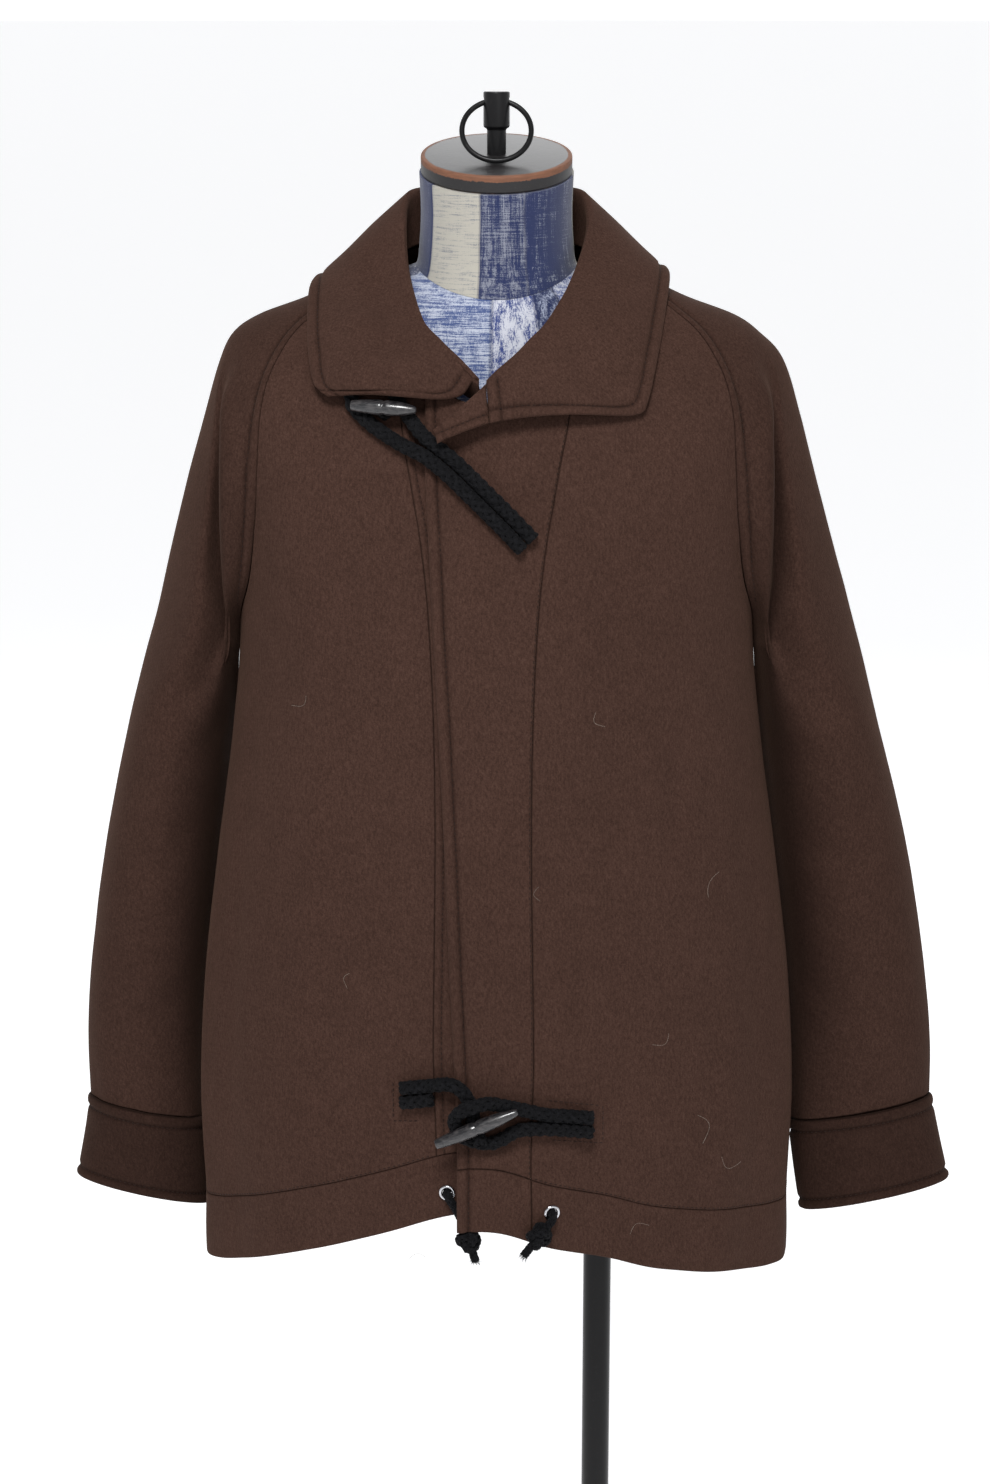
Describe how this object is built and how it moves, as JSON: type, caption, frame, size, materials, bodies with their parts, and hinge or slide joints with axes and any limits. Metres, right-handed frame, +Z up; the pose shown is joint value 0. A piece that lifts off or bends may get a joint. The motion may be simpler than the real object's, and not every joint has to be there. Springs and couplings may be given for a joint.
{
  "type": "duffle coat on a dress form",
  "caption": "Short duffle coat with a big turned collar, rope and toggle closures, raglan sleeves and a drawcord hem, worn on a limbless dress form on a pole stand.",
  "frame": {"origin": "on the floor straight under the form's neck, on the underside of the base plate", "axes": "+Z up, the coat's front faces -Y, +X is the wearer's left"},
  "size_m": [0.7125, 0.3571, 1.546],
  "materials": {
    "wool": "dark brown milled melton",
    "rope": "black braided cord",
    "horn": "polished dark horn",
    "nickel": "bright nickel",
    "denim": "faded indigo patchwork",
    "black_metal": "worn black paint",
    "cap_wood": "black painted wood with a worn rim"
  },
  "bodies": {
    "stand": {"front_right": "wool", "placket_right": "wool", "placket_left": "wool", "front_left": "wool", "back": "wool", "hem_band_right": "wool", "hem_band_placket": "wool", "hem_band_left": "wool", "hem_band_back": "wool", "eyelet_right": "nickel", "eyelet_left": "nickel", "sleeve_left": "wool", "sleeve_right": "wool", "cuff_left": "wool", "cuff_right": "wool", "collar": "wool", "lapel": "wool", "loop_upper": "rope", "loop_lower": "rope", "toggle_rope_upper": "rope", "toggle_rope_lower": "rope", "toggle_tab_lower": "rope", "toggle_upper": "horn", "toggle_lower": "horn", "drawcord_right": "rope", "drawcord_knot_right": "rope", "drawcord_tail_right": "rope", "drawcord_left": "rope", "drawcord_knot_left": "rope", "drawcord_tail_left": "rope", "form_neck": "denim", "form_torso": "denim", "neck_cap": "cap_wood", "neck_post": "black_metal", "form_board": "cap_wood", "pole_socket": "black_metal", "pole": "black_metal", "stand_base": "black_metal"},
    "ring": {"lift_ring": "black_metal"}
  },
  "joints": [
    {"name": "ring_swing", "type": "hinge", "parent": "stand", "child": "ring", "pos_m": [0, 0, 1.5386], "axis": [-1, 0, 0], "range_deg": [0, 264]}
  ]
}
